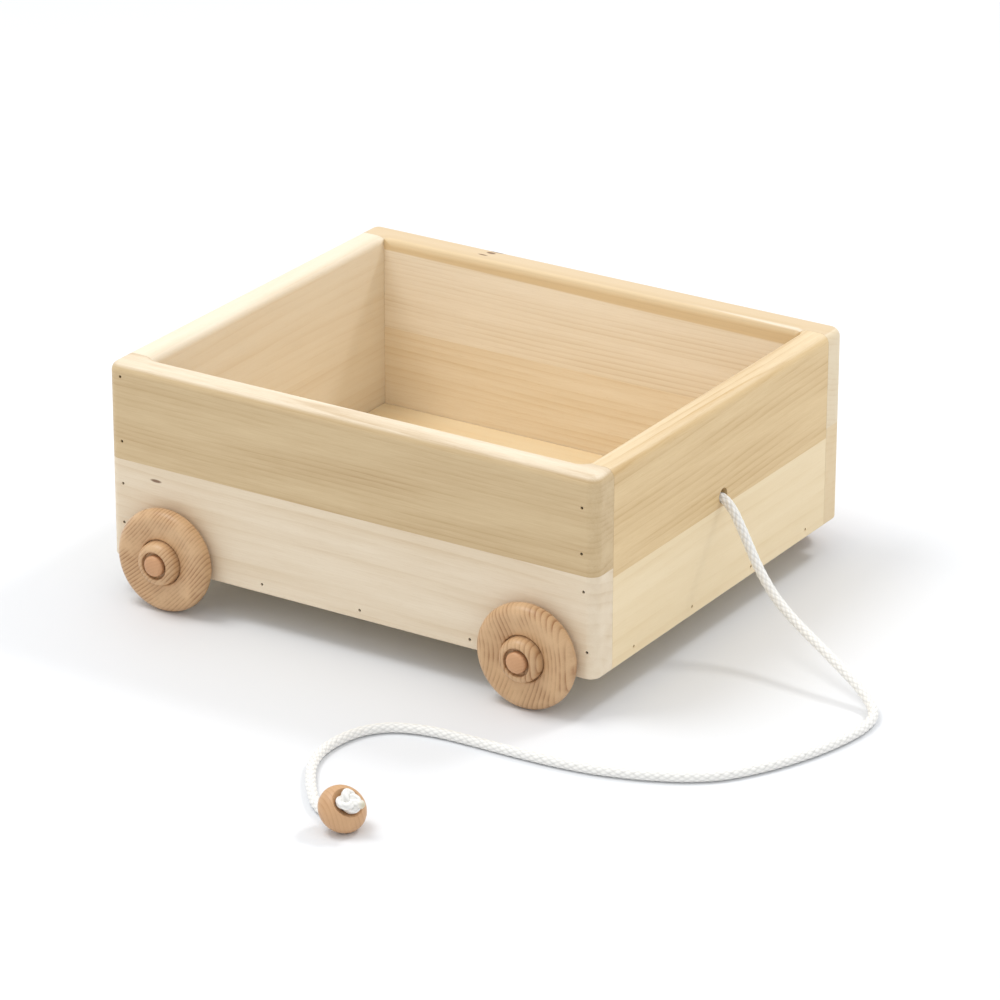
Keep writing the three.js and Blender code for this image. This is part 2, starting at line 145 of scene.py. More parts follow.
# Each wood's key, what it is the wood of, its early wood and its late wood
WOOD_COLOURS = (
    ("right_upper", "the right side's upper board", (210, 187, 147), (182, 153, 110)),
    ("right_lower", "the right side's lower board", (233, 219, 196), (207, 184, 150)),
    ("left_upper", "the left side's upper board", (230, 216, 188), (208, 184, 146)),
    ("left_lower", "the left side's lower board", (226, 206, 170), (212, 184, 138)),
    ("front_upper", "the front end's upper board", (227, 201, 155), (192, 158, 105)),
    ("front_lower", "the front end's lower board", (240, 222, 187), (219, 193, 145)),
    ("rear", "the rear end's boards", (236, 226, 206), (212, 190, 156)),
    ("floor", "the floor panel", (238, 221, 186), (226, 195, 144)),
    ("wheel", "the turned wheels", (223, 188, 145), (146, 99, 58)),
    ("peg", "the axle pegs", (210, 163, 121), (176, 126, 88)),
    ("bead", "the pull bead", (214, 174, 132), (176, 130, 88)),
)
for key, whose, early, late in WOOD_COLOURS:
    label = key.replace("_", " ").capitalize()
    WagonColours.__annotations__[key + "_pale"] = colour(label + ", pale", f"Early wood of {whose}", *early)
    WagonColours.__annotations__[key + "_deep"] = colour(label + ", deep", f"Late wood of {whose}", *late)


class WagonStudio(bpy.types.PropertyGroup):
    lens: bpy.props.FloatProperty(
        name="Lens", description="Focal length of the camera", default=182.2, unit="CAMERA"
    )
    azimuth: angle("Azimuth", "Angle of the camera round the wagon", 32.281)
    elevation: angle("Elevation", "Angle of the camera above the ground", 22.924)
    roll: angle("Roll", "Tilt of the camera about its own line of sight", 0.136)
    distance: bpy.props.FloatProperty(
        name="Distance", description="Distance of the camera along its line of sight",
        default=3067.551 * MM, unit="LENGTH",
    )
    aim: bpy.props.FloatVectorProperty(
        name="Aim", description="Shift of the camera to its right and upwards",
        default=(12.719 * MM, 41.788 * MM), size=2, unit="LENGTH",
    )
    surround: bpy.props.FloatProperty(
        name="Surround", description="Brightness of the white room", default=0.9, min=0.0
    )
    key: bpy.props.FloatProperty(
        name="Key light", description="Power of the key light", default=16.0, min=0.0, unit="POWER"
    )
    overhead: bpy.props.FloatProperty(
        name="Overhead light", description="Power of the wide soft light above", default=18.0, min=0.0,
        unit="POWER",
    )


# Shader writing


class Wire:
    """One node's output, with ordinary operators that add Math nodes."""

    def __init__(self, sheet, socket):
        self.sheet = sheet
        self.socket = socket

    def maths(self, operation, *values):
        return self.sheet.node("ShaderNodeMath", {"operation": operation}, dict(enumerate(values)))

    def __add__(self, other):
        return self.maths("ADD", self, other)

    def __radd__(self, other):
        return self.maths("ADD", other, self)

    def __sub__(self, other):
        return self.maths("SUBTRACT", self, other)

    def __rsub__(self, other):
        return self.maths("SUBTRACT", other, self)

    def __mul__(self, other):
        return self.maths("MULTIPLY", self, other)

    def __rmul__(self, other):
        return self.maths("MULTIPLY", other, self)

    def __truediv__(self, other):
        return self.maths("DIVIDE", self, other)

    def __pow__(self, other):
        return self.maths("POWER", self, other)

    def share(self):
        """The part after the decimal point."""
        return self.maths("FRACT", self)

    def held(self):
        """The value kept from 0 to 1."""
        return self.sheet.node("ShaderNodeClamp", {}, {0: self, 1: 0.0, 2: 1.0})

    def step(self, low, high):
        """0 below low, 1 above high and a smooth rise between them."""
        return self.sheet.node(
            "ShaderNodeMapRange", {"interpolation_type": "SMOOTHSTEP"}, {0: self, 1: low, 2: high}
        )


class NodeSheet:
    """The nodes of one material."""

    def __init__(self, name):
        self.material = bpy.data.materials.new(name)
        self.material.use_nodes = True
        self.tree = self.material.node_tree
        self.tree.nodes.clear()

    def node(self, kind, settings=None, values=None, output=0):
        """Adds a node: its settings first, a ramp's stops among them, then its sockets' values or links."""
        made = self.tree.nodes.new(kind)
        for key, value in (settings or {}).items():
            setattr(made, key, value)
        for key, value in (values or {}).items():
            if isinstance(value, Wire):
                self.tree.links.new(value.socket, made.inputs[key])
            else:
                made.inputs[key].default_value = value
        return Wire(self, made.outputs[output]) if len(made.outputs) else made

    def mix(self, factor, first, second):
        """A colour from the first to the second by the factor."""
        opaque = [c if isinstance(c, Wire) else (*c, 1.0) for c in (first, second)]
        return self.node(
            "ShaderNodeMix", {"data_type": "RGBA"}, {0: factor, 6: opaque[0], 7: opaque[1]}, output=2
        )

    def place(self):
        """Object coordinates in metres."""
        return self.node("ShaderNodeTexCoord", output=3)

    def axes(self, vector):
        """The three numbers of a vector."""
        first = self.node("ShaderNodeSeparateXYZ", {}, {0: vector})
        outputs = first.socket.node.outputs
        return [Wire(self, outputs[k]) for k in range(3)]

    def noise(self, place, lengths, shift, detail=2.0, roughness=0.5):
        """Noise whose lumps are as long as the three lengths, in metres, moved along by shift."""
        moved = self.node(
            "ShaderNodeMapping", {},
            {"Vector": place, "Location": shift, "Scale": [1 / length for length in lengths]},
        )
        return self.node(
            "ShaderNodeTexNoise", {},
            {"Vector": moved, "Scale": 1.0, "Detail": detail, "Roughness": roughness},
        )

    def close(self, base, roughness, height, bump_distance, bump_strength=1.0, **sockets):
        """Ends the material in one shader, with the height as a bump."""
        normal = self.node(
            "ShaderNodeBump", {},
            {"Height": height, "Distance": bump_distance, "Strength": bump_strength},
        )
        values = {"Base Color": base, "Roughness": roughness, "Normal": normal}
        values.update({name.replace("_", " "): value for name, value in sockets.items()})
        shader = self.node("ShaderNodeBsdfPrincipled", {}, values)
        self.node("ShaderNodeOutputMaterial", {}, {"Surface": shader})
        return self.material


# Lengths of the wood's lumps of noise, along and across the grain, in metres
SLOW_BEND = (0.26, 0.035)
SMALL_BEND = (0.05, 0.006)
PATCH = (0.14, 0.011)
FIBRE = (0.016, 0.00055)
FLECK = (0.0052, 0.00028)


def across(grain, lengths):
    """Three lengths, the first of two on the grain's axis and the second on the others."""
    along, sideways = lengths
    return [along if axis == grain else sideways for axis in range(3)]


def tones(colours, key):
    """The colours of one wood's early and late wood."""
    return tuple(getattr(colours, key + "_pale")), tuple(getattr(colours, key + "_deep"))


def wood(
    name, pale, deep, grain, pith, ring_gap,
    rings=0.5, fibre=0.35, cloud=0.5, wobble=3.0 * MM, seed=0.0,
    flecks=0.25, sheen=0.46, band=None, spots=(), lean=0.0,
):
    """Sawn or turned wood. Growth rings are shells round a pith line that runs with the grain: the ring
    number is the distance from the pith, bent by slow noise, divided by the ring gap. Each ring darkens
    slowly and ends in a fine line. Fibres are noise drawn out along the grain, flecks its sparse peaks."""
    sheet = NodeSheet(name)
    place = sheet.place()
    position = sheet.axes(place)
    first, second = [axis for axis in range(3) if axis != grain]
    shift = (seed * 3.1, seed * 1.7, seed * 2.3)
    slow = sheet.noise(place, across(grain, SLOW_BEND), shift, detail=1.0) - 0.5
    small = sheet.noise(place, across(grain, SMALL_BEND), shift, detail=2.0) - 0.5
    side_1 = position[first] - pith[0]
    side_2 = position[second] - pith[1] + position[grain] * lean
    radius = (side_1 * side_1 + side_2 * side_2) ** 0.5
    radius = radius + slow * (2 * wobble) + small * (0.18 * wobble)
    ring = (radius / ring_gap).share()
    late = (ring ** 3.0) * (1.0 - ring.step(0.86, 1.0))
    patch = sheet.noise(place, across(grain, PATCH), shift, detail=2.0)
    thread = sheet.noise(place, across(grain, FIBRE), shift, detail=3.0, roughness=0.62)
    dash = sheet.noise(place, across(grain, FLECK), shift, detail=1.0)
    fleck = dash.step(0.64, 0.78)
    mask = late * patch.step(0.25, 0.75) * rings
    mask = mask + (thread - 0.5) * fibre + (patch - 0.5) * cloud + 0.32
    mask = mask + fleck * flecks
    tone = sheet.mix(mask.held(), pale, deep)
    # A band's colour is either the wood's own, such as the heartwood band, or painted light: the rims' painted
    # highlights and the inner faces painted paler for bounced light
    if band:
        band_colour, cover = band(sheet, position, slow, small)
        tone = sheet.mix(cover, tone, sheet.mix(mask.held(), band_colour, deep))
    for centre, half_along, half_across, brown, strength in spots:
        reach = across(grain, (half_along, half_across))
        parts = [((position[axis] - centre[axis]) / reach[axis]) ** 2.0 for axis in range(3)]
        away = parts[0] + parts[1] + parts[2] + small * 1.6
        cover = (1.0 - away.step(0.25, 1.15)) * strength
        tone = sheet.mix(cover.held(), tone, brown)
    roughness = thread * 0.16 + (sheen - 0.08) + late * 0.05
    height = thread * 0.55 - late * 0.35 - fleck * 0.6
    return sheet.close(tone, roughness, height, 0.05 * MM, bump_strength=0.35, Specular_IOR_Level=0.42)


def rope_material(name, pale, melted):
    """Glossy braided filament: fine noise drawn out along the rope's own UV, with painted shade in the braid's
    hollows, which the hollow-shade attribute gives, and yellowed where the melt attribute says that heat has
    sealed it."""
    sheet = NodeSheet(name)
    along = sheet.node("ShaderNodeTexCoord", output=2)
    moved = sheet.node("ShaderNodeMapping", {}, {"Vector": along, "Scale": (150.0, 900.0, 1.0)})
    thread = sheet.node(
        "ShaderNodeTexNoise", {}, {"Vector": moved, "Scale": 1.0, "Detail": 2.0, "Roughness": 0.6}
    )
    hollow_shade = sheet.node("ShaderNodeAttribute", {"attribute_name": "hollow_shade"}, output=2)
    melt = sheet.node("ShaderNodeAttribute", {"attribute_name": "melt"}, output=2)
    cloud = sheet.noise(sheet.place(), (0.012, 0.012, 0.012), (4.0, 2.0, 1.0))
    # Painted shade: the braid's hollows are darkened towards a deeper copy of the rope's colour, along with
    # fine random variation in tone
    shade = (hollow_shade * 0.62 + (thread - 0.5) * 0.16 + (cloud - 0.5) * 0.12).held()
    tone = sheet.mix(shade, pale, tuple(0.55 * c for c in pale))
    tone = sheet.mix((melt * (0.75 + cloud * 0.5)).held(), tone, melted)
    roughness = 0.44 + thread * 0.14 - melt * 0.12
    return sheet.close(tone, roughness, thread, 0.06 * MM, bump_strength=0.4)


def brad_material(name, steel):
    """Dull steel: soft mottling and a patchy oxide that is rougher and darker."""
    sheet = NodeSheet(name)
    place = sheet.place()
    mottle = sheet.noise(place, (0.0008, 0.0008, 0.0008), (1.0, 5.0, 2.0), detail=4.0)
    oxide = mottle.step(0.45, 0.65)
    tone = sheet.mix(oxide, steel, tuple(0.45 * c for c in steel))
    return sheet.close(tone, oxide * 0.25 + 0.42, mottle, 0.03 * MM, bump_strength=0.3, Metallic=0.7)


def ground_material(name, pale):
    """The studio's pale floor: even, matt and very slightly mottled."""
    sheet = NodeSheet(name)
    place = sheet.place()
    mottle = sheet.noise(place, (0.4, 0.4, 0.4), (0.0, 0.0, 0.0))
    tone = sheet.mix(mottle * 0.1, pale, tuple(0.985 * c for c in pale))
    return sheet.close(tone, mottle * 0.05 + 0.6, mottle, 0.02 * MM, bump_strength=0.1)


# Mesh writing


def signed_volume(points, faces):
    """Six times the volume inside the faces, each fanned from its first corner: a sum of triple products."""
    total = 0.0
    by_count = {}
    for face in faces:
        by_count.setdefault(len(face), []).append(face)
    for corners in by_count.values():
        index = np.array(corners)
        for k in range(1, index.shape[1] - 1):
            first, second, third = points[index[:, 0]], points[index[:, k]], points[index[:, k + 1]]
            total += np.einsum("ij,ij->i", first, np.cross(second, third)).sum()
    return total


def grid_faces(rows, columns, wrap_rows=False, wrap_columns=True):
    """Four-cornered faces of a grid whose rows or columns may close on themselves."""
    row = np.arange(rows if wrap_rows else rows - 1)[:, None]
    column = np.arange(columns if wrap_columns else columns - 1)[None, :]
    next_row, next_column = (row + 1) % rows, (column + 1) % columns
    corners = [row * columns + column, next_row * columns + column,
               next_row * columns + next_column, row * columns + next_column]
    return np.stack([np.broadcast_to(c, (row.size, column.size)) for c in corners], -1).reshape(-1, 4)


def carried_faces(rows, columns):
    """The faces of a closed section carried along, with one flat face at each end."""
    far = rows * columns - 1
    return grid_faces(rows, columns).tolist() + [list(range(columns)), list(range(far, far - columns, -1))]


def fan(pole, start, sides, turned):
    """Triangles from a pole to the ring of points that begins at start."""
    index = start + np.arange(sides)
    following = start + (np.arange(sides) + 1) % sides
    pair = (following, index) if turned else (index, following)
    return np.stack([np.full(sides, pole), *pair], -1).tolist()


def square_to(axis):
    """The axis at unit length, and two directions square to it and to each other."""
    axis = np.array(axis, float) / np.linalg.norm(axis)
    first = np.cross(axis, [0.0, 0.0, 1.0] if abs(axis[2]) < 0.9 else [1.0, 0.0, 0.0])
    first /= np.linalg.norm(first)
    return axis, first, np.cross(axis, first)


def add_object(name, data):
    """A new object in the scene."""
    made = bpy.data.objects.new(name, data)
    bpy.context.scene.collection.objects.link(made)
    return made


def mesh_piece(name, points, faces, material, sharp_angle=35.0):
    """A mesh object at the origin, its faces turned outwards, smooth but for edges past the sharp angle."""
    if signed_volume(points, faces) < 0:
        faces = [list(reversed(face)) for face in faces]
    mesh = bpy.data.meshes.new(name)
    mesh.from_pydata(points.tolist(), [], [list(map(int, face)) for face in faces])
    mesh.validate()
    mesh.shade_smooth()
    mesh.set_sharp_from_angle(angle=math.radians(sharp_angle))
    if material:
        mesh.materials.append(material)
    return add_object(name, mesh)


def finish_with_modifiers(piece):
    """Replaces the piece's mesh with the result of its modifiers, which then go."""
    bpy.context.view_layer.update()
    graph = bpy.context.evaluated_depsgraph_get()
    finished = bpy.data.meshes.new_from_object(
        piece.evaluated_get(graph), preserve_all_data_layers=True, depsgraph=graph
    )
    finished.name = piece.name
    old = piece.data
    piece.modifiers.clear()
    piece.data = finished
    bpy.data.meshes.remove(old)


def drill(piece, holes, sharp_angle=35.0):
    """Cuts straight holes: each is (mouth, end, radius, sides), a closed rod taken away from the piece."""
    points, faces, start = [], [], 0
    for mouth, end, radius, sides in holes:
        rod_points, rod_faces = rod(mouth, end, radius, sides)
        points.append(rod_points)
        faces += [[v + start for v in face] for face in rod_faces]
        start += len(rod_points)
    if holes:
        cutter = mesh_piece(piece.name + "_cutter", np.concatenate(points), faces, None)
        cut = piece.modifiers.new("Holes", "BOOLEAN")
        cut.operation = "DIFFERENCE"
        cut.solver = "EXACT"
        cut.object = cutter
        finish_with_modifiers(piece)
        bpy.data.objects.remove(cutter)
    piece.data.shade_smooth()
    piece.data.set_sharp_from_angle(angle=math.radians(sharp_angle))
    even = piece.modifiers.new("Even normals", "WEIGHTED_NORMAL")
    even.keep_sharp = True
    even.weight = 80
    finish_with_modifiers(piece)


def rod(start, end, radius, sides):
    """A closed rod: a circle of the radius carried from start to end, with a flat face at each end."""
    start, end = np.array(start, float), np.array(end, float)
    _, first, second = square_to(end - start)
    turn = np.linspace(0, 2 * np.pi, sides, endpoint=False)[:, None]
    ring = radius * (np.cos(turn) * first + np.sin(turn) * second)
    points = np.concatenate([start + ring, end + ring])
    faces = carried_faces(2, sides)
    if signed_volume(points, faces) < 0:
        faces = [face[::-1] for face in faces]
    return points, faces


def turned_piece(name, profile, centre, axis, steps, material, closed_loop, sharp_angle=32.0):
    """A turned piece: the profile, given as radius and distance along the axis, carried round the axis.
    point = centre + distance * axis + radius * (cos a * first + sin a * second). A profile that is a closed
    loop makes a ring. Any other starts and ends on the axis, where one point closes each pole."""
    profile = np.array(profile, float)
    axis, first, second = square_to(axis)
    turn = np.linspace(0, 2 * np.pi, steps, endpoint=False)
    around = np.cos(turn)[:, None] * first + np.sin(turn)[:, None] * second
    body = profile if closed_loop else profile[1:-1]
    points = body[:, None, :1] * around[None] + body[:, None, 1:] * axis + np.array(centre)
    points = points.reshape(-1, 3)
    faces = grid_faces(len(body), steps, wrap_rows=closed_loop).tolist()
    if not closed_loop:
        poles = profile[[0, -1], 1][:, None] * axis + np.array(centre)
        faces += fan(len(points), 0, steps, turned=False)
        faces += fan(len(points) + 1, (len(body) - 1) * steps, steps, turned=True)
        points = np.concatenate([points, poles])
    return mesh_piece(name, points, faces, material, sharp_angle)


def arc(centre_radius, centre_height, reach_radius, reach_height, start, end, steps):
    """Points on an ellipse: centre + (reach_radius * cos a, reach_height * sin a), a in degrees."""
    a = np.radians(np.linspace(start, end, steps + 1))
    return list(zip(centre_radius + reach_radius * np.cos(a), centre_height + reach_height * np.sin(a)))


def bend(start, first_handle, second_handle, end, steps):
    """Points on a cubic Bezier curve: the four points weighted by the Bernstein polynomials."""
    t = np.linspace(0, 1, steps + 1)[:, None]
    weights = [(1 - t) ** 3, 3 * t * (1 - t) ** 2, 3 * t ** 2 * (1 - t), t ** 3]
    corners = [np.array(p, float) for p in (start, first_handle, second_handle, end)]
    return [tuple(point) for point in sum(w * c for w, c in zip(weights, corners))]


# Boards


FINE_STEP = 0.8 * MM  # Between sections where the rim turns a corner
HOLE_START = 1.0 * MM  # How far outside a face a hole's rod begins
HOLE_PAST = 0.3 * MM  # How far past the end of a brad or a peg its rod goes


def fall(distance, radius):
    """How far a quarter-round edge has fallen at a distance in from its face: r - sqrt(r^2 - (r - d)^2)."""
    inset = np.clip(radius - distance, 0, radius)
    return radius - np.sqrt(np.maximum(radius ** 2 - inset ** 2, 0))


def outline_distance(x, y, corner):
    """Distance in from the wagon's plan outline, a rectangle with rounded corners: the lesser of the
    distances to the two nearest sides, or the corner radius less the distance from the corner's centre."""
    past_x, past_y = np.abs(x) - (HALF_LENGTH - corner), np.abs(y) - (HALF_WIDTH - corner)
    straight = np.minimum(HALF_LENGTH - np.abs(x), HALF_WIDTH - np.abs(y))
    rounded = corner - np.hypot(past_x, past_y)
    return np.maximum(np.where((past_x > 0) & (past_y > 0), rounded, straight), 0)


def opening_distance(x, y, board, bearing):
    """Distance out from the opening's plan outline, as a router's bearing follows it round the corners:
    hypot(x past the bearing's reach, y past it) - bearing."""
    past_x = np.maximum(np.abs(x) - (HALF_LENGTH - board - bearing), 0)
    past_y = np.maximum(np.abs(y) - (HALF_WIDTH - board - bearing), 0)
    return np.maximum(np.hypot(past_x, past_y) - bearing, 0)


def cosine_steps(start, end, count):
    """Numbers from start to end that lie closer together towards both: start + (end - start)(1 - cos a)/2."""
    return start + (end - start) * (1 - np.cos(np.linspace(0, np.pi, count))) / 2


def quarter_steps(start, end, count):
    """Numbers from start to end that lie closer together at the start: start + (end - start)(1 - cos a)."""
    return start + (end - start) * (1 - np.cos(np.linspace(0, np.pi / 2, count)))


def board_piece(name, sizes, side, long_axis, reach, low, high, rim, material):
    """One board: a closed section carried along its length. At each place along it the section runs over
    the bottom, up the outer face, back over the top and down the inner face. Top height is the rim less the
    fall of the outer and the inner round-over. Bottom height is the base plus the fall of the bottom round.
    The outer face's distance out follows the plan outline, so that it turns in at the upright corners."""
    corner = sizes.corner
    is_side = long_axis == 0
    dense = np.array([reach - 12 * MM])
    if rim:
        near, far = (9 * MM, 31 * MM) if is_side else (FINE_STEP, 14 * MM)
        dense = np.arange(reach - near, reach - far, -FINE_STEP)
    tip = quarter_steps(reach, reach - corner, 15) if is_side else np.array([reach])
    half = np.concatenate([tip, dense])
    middle = np.linspace(dense[-1], -dense[-1], 14)[1:-1]
    along = np.concatenate([half, middle, -half[::-1]])[:, None]
    outer = np.full_like(along, HALF_WIDTH if is_side else HALF_LENGTH)
    inner = outer[0, 0] - sizes.board
    if is_side:
        outer = outer - fall(HALF_LENGTH - np.abs(along), corner)
    over = inner + (outer - inner) * cosine_steps(0, 1, 34)[None, :]

    def plan(out):
        spread = np.broadcast_to(along, out.shape)
        return (spread, side * out) if is_side else (side * out, spread)

    x, y = plan(over)
    edge = outline_distance(x, y, corner)
    bottom = np.full_like(over, low) + (0 if rim else fall(edge, sizes.bottom_round))
    top = np.full_like(over, high)
    if rim:
        inside = opening_distance(x, y, sizes.board, sizes.router_bearing)
        top = top - fall(edge, sizes.round_over) - fall(inside, sizes.round_over)
    rise = np.linspace(0, 1, 7)[None, 1:-1]
    up = bottom[:, -1:] + (top[:, -1:] - bottom[:, -1:]) * rise
    down = top[:, :1] + (bottom[:, :1] - top[:, :1]) * rise
    across_out = np.concatenate(
        [over, np.repeat(outer, up.shape[1], 1), over[:, ::-1], np.full(down.shape, inner)], 1
    )
    height = np.concatenate([bottom, up, top[:, ::-1], down], 1)
    x, y = plan(across_out)
    points = np.stack([x, y, height], -1)
    return mesh_piece(name, points.reshape(-1, 3), carried_faces(*height.shape), material)


def brad_rods(radius):
    """The rods that the brads' holes take away: from outside the mouth, past the brad's point. Brads lie
    along Y through the side boards and along X through the end boards."""
    rods = []
    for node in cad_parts:
        if not node.startswith("brad_"):
            continue
        low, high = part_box(node)
        middle = (low + high) / 2
        run = 1 if high.y - low.y > high.x - low.x else 0
        outward = 1.0 if middle[run] > 0 else -1.0
        mouth, end = list(middle), list(middle)
        limit = HALF_WIDTH if run == 1 else HALF_LENGTH
        mouth[run] = outward * (limit + HOLE_START)
        end[run] = (low if outward > 0 else high)[run] - outward * HOLE_PAST
        rods.append((mouth, end, radius, 14))
    return rods


def rods_meeting(rods, piece):
    """The rods whose boxes meet the piece's box."""
    points = np.array([v.co for v in piece.data.vertices])
    low, high = points.min(0), points.max(0)
    found = []
    for mouth, end, radius, sides in rods:
        rod_low = np.minimum(mouth, end) - radius
        rod_high = np.maximum(mouth, end) + radius
        if np.all(rod_low < high) and np.all(rod_high > low):
            found.append((mouth, end, radius, sides))
    return found


def settle(piece, body, node):
    """Puts the piece on its body and hides the CAD node that it stands for."""
    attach(piece, body)
    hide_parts(node)


# Depths, lengths and heights over which one colour of the boards' wood gives way to another, in metres
# Depth where the left boards' inner faces, painted paler for bounced light, begin
INNER_FACE = (0.1262, 0.1290)
END_GRAIN = (0.1496, 0.1502)
# Heights where the painted highlight on the right and the front rims begins
RIGHT_RIM_HIGHLIGHT = (0.1435, 0.1460)
FRONT_RIM_HIGHLIGHT = (0.1440, 0.1462)
LEFT_RIM = (0.1452, 0.1462)
HEART_LOW = (0.1354, 0.1366)
HEART_HIGH = (0.1457, 0.1465)

# Each board's pith square to the grain, ring gap in millimetres, rings, fibre, cloud, wobble in millimetres,
# seed and lean
BOARD_WOODS = {
    ("right", "upper"): ((-0.1490, 0.3050), 3.4, 0.60, 0.70, 0.90, 5.0, 1.0, 0.010),
    ("right", "lower"): ((-0.1700, -0.0600), 6.5, 0.42, 0.50, 0.70, 6.0, 2.0, 0.022),
    ("left", "upper"): ((0.1700, 0.2600), 3.2, 0.50, 0.30, 0.35, 3.5, 3.0, 0.0),
    ("left", "lower"): ((0.1100, -0.0900), 4.4, 0.42, 0.34, 0.45, 5.0, 4.0, 0.0),
    ("front", "upper"): ((0.2300, 0.2100), 4.2, 0.62, 0.52, 0.75, 5.0, 5.0, -0.03),
    ("front", "lower"): ((0.2600, -0.1200), 8.0, 0.32, 0.36, 0.50, 5.0, 6.0, 0.0),
    ("rear", "upper"): ((-0.1900, 0.2400), 6.0, 0.30, 0.28, 0.50, 7.0, 8.0, 0.0),
    ("rear", "lower"): ((-0.1100, -0.0500), 5.0, 0.35, 0.30, 0.50, 6.0, 9.0, 0.0),
}


def glued_boards(scene, part, side, long_axis, reach, glue_line, rods, traits):
    """The lower and the upper board of one wall, with an open line between them. The traits are a board's
    band of another colour and its knots."""
    sizes = scene.wagon_sizes
    half_gap = sizes.glue_gap / 2
    for level, low, high in (
        ("lower", BOX_BOTTOM, glue_line - half_gap),
        ("upper", glue_line + half_gap, BOX_TOP),
    ):
        pith, gap, rings, fibre, cloud, wobble, seed, lean = BOARD_WOODS[part, level]
        key = part if part == "rear" else f"{part}_{level}"
        material = wood(
            f"{part}_{level}_wood", *tones(scene.wagon_colours, key), long_axis, pith, gap * MM,
            rings=rings, fibre=fibre, cloud=cloud, wobble=wobble * MM, seed=seed, lean=lean,
            **traits.get((part, level), {}),
        )
        piece = board_piece(
            f"{part}_{level}_plank", sizes, side, long_axis, reach, low, high, level == "upper", material
        )
        drill(piece, rods_meeting(rods, piece))
        settle(piece, "root", f"{part}_{'end' if long_axis else 'side'}_{level}_board")


# Rope

BEAD_CENTRE = np.array([126.23, -335.12, 11.9]) * MM
BEAD_RADIUS = 13.9 * MM
BEAD_HALF_THICKNESS = 10 * MM
BEAD_AXIS = np.array([0.62, -0.22, 0.75]) / np.linalg.norm([0.62, -0.22, 0.75])
STOP_KNOT_CENTRE = np.array([143.4, 0.0, 85.4]) * MM
ROPE_STEP = 0.5 * MM
ROPE_SIDES = 60
KNOT_SIDES = 30

# Places along the bead's axis, from its middle
ROPE_IN_ALONG = -4.4 * MM
ROPE_END_ALONG = 4.4 * MM
END_KNOT_ALONG = 9.2 * MM

ROPE_LENGTH = 0.668
LENGTH_SLACK = 0.004

# The rope's middle from behind the front board to the bead. LIE is its height where it lies on the ground
LIE = 3.1
ROPE_POINTS = np.array([
    (150, 0, 85.4), (160, -0.1, 85.4), (169.5, -0.6, 85.1), (177, -3, 80.8), (184.5, -5.8, 72.4),
    (192, -8.6, 62.8), (201, -12, 51.6), (213.5, -16.8, 40.6), (229, -22.6, 31.9), (248.5, -30.2, 24.6),
    (269, -38, 17), (285, -44.2, 10.4), (297, -51, 4.8), (304, -61, 3.3), (306.5, -75, LIE),
    (304.8, -93, LIE), (299.5, -115, LIE), (291.2, -137, LIE), (281.2, -156.5, LIE), (269.5, -173, LIE),
    (255.8, -184.4, LIE), (240, -193, LIE), (223.4, -199.6, LIE), (205.5, -204.6, LIE),
    (186.5, -207.6, LIE), (166.5, -209.2, LIE), (147.5, -209.8, LIE), (128.8, -210.2, LIE),
    (110.5, -211.2, LIE), (94.5, -214.4, LIE), (80, -221.5, LIE), (70.5, -233.8, LIE),
    (66.2, -249.5, LIE), (66.2, -266, LIE), (71, -282.5, LIE), (80, -298, LIE), (91, -312.5, LIE),
    (101, -323, LIE), (112.2, -330.1, LIE), (115.4, -331.3, 3.5), (118.4, -332.3, 4.6), (121.2, -333.3, 6.3),
]) * MM


def smooth_route(points, spacing):
    """A centripetal Catmull-Rom curve through the points, cut at even steps of its length. Knots are spaced
    by the square root of the distance between points; each span is the Barry-Goldman blend of its four."""
    before, after = 2 * points[0] - points[1], 2 * points[-1] - points[-2]
    all_points = np.concatenate([[before], points, [after]])
    gaps = np.linalg.norm(np.diff(all_points, axis=0), axis=1) ** 0.5
    knots = np.concatenate([[0], np.cumsum(gaps)])
    t = np.linspace(0, 1, 40, endpoint=False)
    spans = np.arange(len(points) - 1)[:, None]
    k = [knots[spans + j] for j in range(4)]
    p = [all_points[spans + j] for j in range(4)]
    u = (k[1] + (k[2] - k[1]) * t[None, :])[..., None]
    k = [value[..., None] for value in k]

    def blend(first, second, low, high):
        return (high - u) / (high - low) * first + (u - low) / (high - low) * second

    a = [blend(p[j], p[j + 1], k[j], k[j + 1]) for j in range(3)]
    b = [blend(a[j], a[j + 1], k[j], k[j + 2]) for j in range(2)]
    curve = np.concatenate([blend(b[0], b[1], k[1], k[2]).reshape(-1, 3), points[-1:]])
    run = np.concatenate([[0], np.cumsum(np.linalg.norm(np.diff(curve, axis=0), axis=1))])
    steps = np.linspace(0, run[-1], int(round(run[-1] / spacing)) + 1)
    return np.stack([np.interp(steps, run, curve[:, axis]) for axis in range(3)], -1), run[-1]


def braid_height(around, along, stitches, stitch):
    """Height of a plain braid, 0 in its hollows to 1 on its crowns. Two families of strands cross at
    u = stitches * turn + length / stitch and v = stitches * turn - length / stitch. In every cell of that
    lattice the strand whose turn it is lies on top: half an ellipse across it and a low arch along it."""
    u = stitches * around + along / stitch
    v = stitches * around - along / stitch
    u_cell, v_cell = np.floor(u), np.floor(v)
    u_part, v_part = u - u_cell, v - v_cell
    on_top = (u_cell + v_cell) % 2 == 0
    width = np.where(on_top, u_part, v_part)
    length = np.where(on_top, v_part, u_part)
    crown = np.sqrt(np.maximum(1 - (2 * width - 1) ** 2, 0))
    arch = 1 - np.abs(2 * length - 1) ** 2.6
    return crown ** 0.8 * (0.35 + 0.65 * arch)


